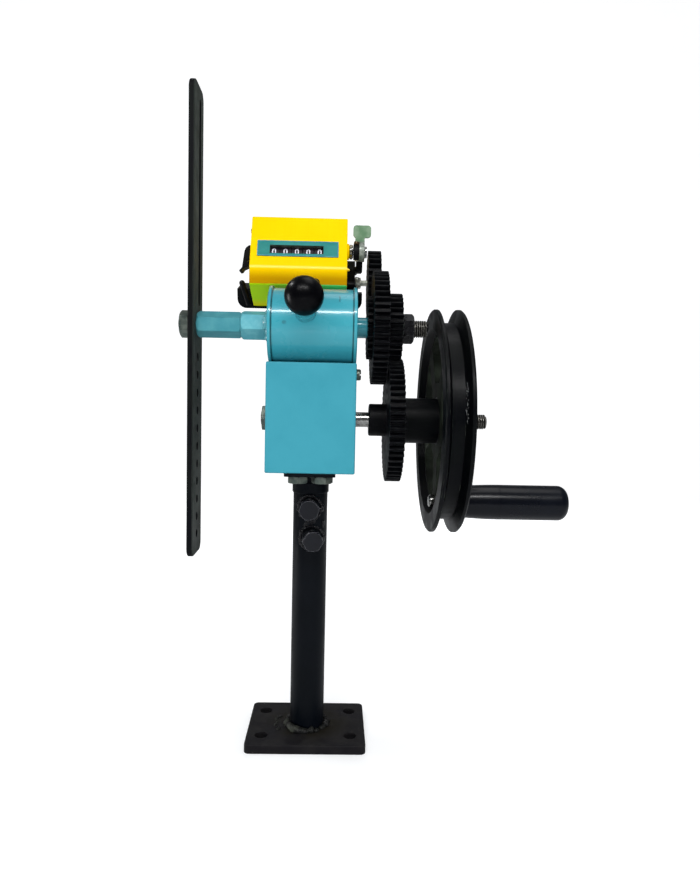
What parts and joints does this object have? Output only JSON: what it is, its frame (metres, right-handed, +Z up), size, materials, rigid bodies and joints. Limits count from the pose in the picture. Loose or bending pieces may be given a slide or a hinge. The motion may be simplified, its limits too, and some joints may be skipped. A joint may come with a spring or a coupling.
{
  "type": "hand coil winding machine",
  "caption": "Bench-mounted hand coil winder: slotted winding arm on a geared spindle, crank wheel with V groove, turns counter and a height-adjustable post.",
  "frame": {"origin": "centre of the base plate's underside, on the bench", "axes": "+Z up along the column; +X along the spindle and the input shaft, from the winding arm towards the crank wheel; -Y towards the operator, the side that the counter and the locking knob face"},
  "size_m": [0.3654, 0.2088, 0.5995],
  "materials": {
    "base_black": "dark slightly rough paint",
    "tube_paint": "semi-gloss black paint",
    "teal_paint": "gloss blue-green paint",
    "zinc": "dull zinc plate",
    "bright_steel": "ground bright steel",
    "gear_black": "oiled blackened steel",
    "dark_nut": "blackened steel",
    "wheel_black": "painted casting, turned rim",
    "handle_black": "gloss black",
    "knob_black": "gloss black ball",
    "arm_black": "black paint on flat bar",
    "bronze": "bronze bush",
    "hood_yellow": "gloss yellow enamel",
    "bezel_teal": "satin blue-green",
    "digit_black": "black number wheels",
    "counter_black": "black casting paint",
    "lever_green": "dull green-grey zinc"
  },
  "bodies": {
    "stand": {"base_plate": "base_black", "column_tube": "tube_paint", "column_band": "tube_paint", "foot_weld": "base_black", "clamp_nuts": "tube_paint", "clamp_bolts": "zinc"},
    "head": {"mast_tube": "bright_steel", "mast_flange": "tube_paint", "flange_bolts": "zinc", "gear_case": "teal_paint", "input_bushes": "bronze", "side_screw": "zinc", "spindle_housing": "teal_paint", "housing_cap_left": "teal_paint", "housing_cap_right": "teal_paint", "spindle_bushes": "bronze", "oil_cup": "counter_black", "counter_case": "hood_yellow", "counter_bezel": "bezel_teal", "number_wheels": "digit_black", "number_axle": "bright_steel", "shaft_blocks": "counter_black", "reset_boss": "zinc", "reset_pin": "zinc", "end_lug": "counter_black", "counter_base": "counter_black", "counter_bracket": "counter_black", "bracket_bolts": "zinc"},
    "lock_handle": {"lock_rod": "zinc", "lock_knob": "knob_black"},
    "spindle": {"spindle_shaft": "dark_nut", "spindle_key": "bright_steel", "hex_neck": "teal_paint", "hex_arbor": "teal_paint", "winding_arm": "arm_black", "arm_washer": "zinc", "arm_nut": "zinc", "spindle_gear_large": "gear_black", "spindle_gear_inner": "gear_black", "spindle_gear_small": "gear_black", "lock_washer": "dark_nut", "spindle_nut": "dark_nut"},
    "crank": {"input_shaft": "bright_steel", "shaft_retainer": "bright_steel", "inner_collar": "bright_steel", "drive_gear": "gear_black", "crank_wheel": "wheel_black", "wheel_nut": "dark_nut", "handle_stud": "bright_steel"},
    "grip": {"handle_grip": "handle_black"},
    "counter_drive": {"counter_shaft": "bright_steel", "counter_gear": "gear_black", "shaft_collars": "bright_steel"},
    "units": {"units_wheel": "digit_black"},
    "reset": {"reset_lever": "lever_green", "reset_cam": "counter_black"}
  },
  "joints": [
    {"name": "height_slide", "type": "slide", "parent": "stand", "child": "head", "axis": [0, 0, 1], "range_m": [0, 0.08]},
    {"name": "input_spin", "type": "hinge", "parent": "head", "child": "crank", "pos_m": [0, 0, 0.3005], "axis": [1, 0, 0], "continuous": true},
    {"name": "handle_spin", "type": "hinge", "parent": "crank", "child": "grip", "pos_m": [0.1344, 0, 0.225], "axis": [1, 0, 0], "continuous": true},
    {"name": "spindle_spin", "type": "hinge", "parent": "head", "child": "spindle", "pos_m": [0, 0, 0.3855], "axis": [1, 0, 0], "continuous": true},
    {"name": "counter_drive_spin", "type": "hinge", "parent": "head", "child": "counter_drive", "pos_m": [0, 0.06217, 0.43585], "axis": [1, 0, 0], "continuous": true},
    {"name": "units_wheel_spin", "type": "hinge", "parent": "head", "child": "units", "pos_m": [0, 0.03747, 0.45061], "axis": [1, 0, 0], "continuous": true},
    {"name": "reset_lever_turn", "type": "hinge", "parent": "head", "child": "reset", "pos_m": [0, 0.03018, 0.46034], "axis": [1, 0, 0], "range_deg": [0, 55], "stiffness_Nm_per_rad": 0.04, "springref_deg": -17.19},
    {"name": "lock_knob_turn", "type": "hinge", "parent": "head", "child": "lock_handle", "pos_m": [-0.006, 0, 0.3855], "axis": [0, -0.9588, 0.284], "range_deg": [-144, 360]}
  ],
  "couplings": [
    {"joint": "spindle_spin", "follows": "input_spin", "ratio": -1.8333},
    {"joint": "counter_drive_spin", "follows": "input_spin", "ratio": 3.0556},
    {"joint": "units_wheel_spin", "follows": "input_spin", "ratio": 0.18333}
  ]
}
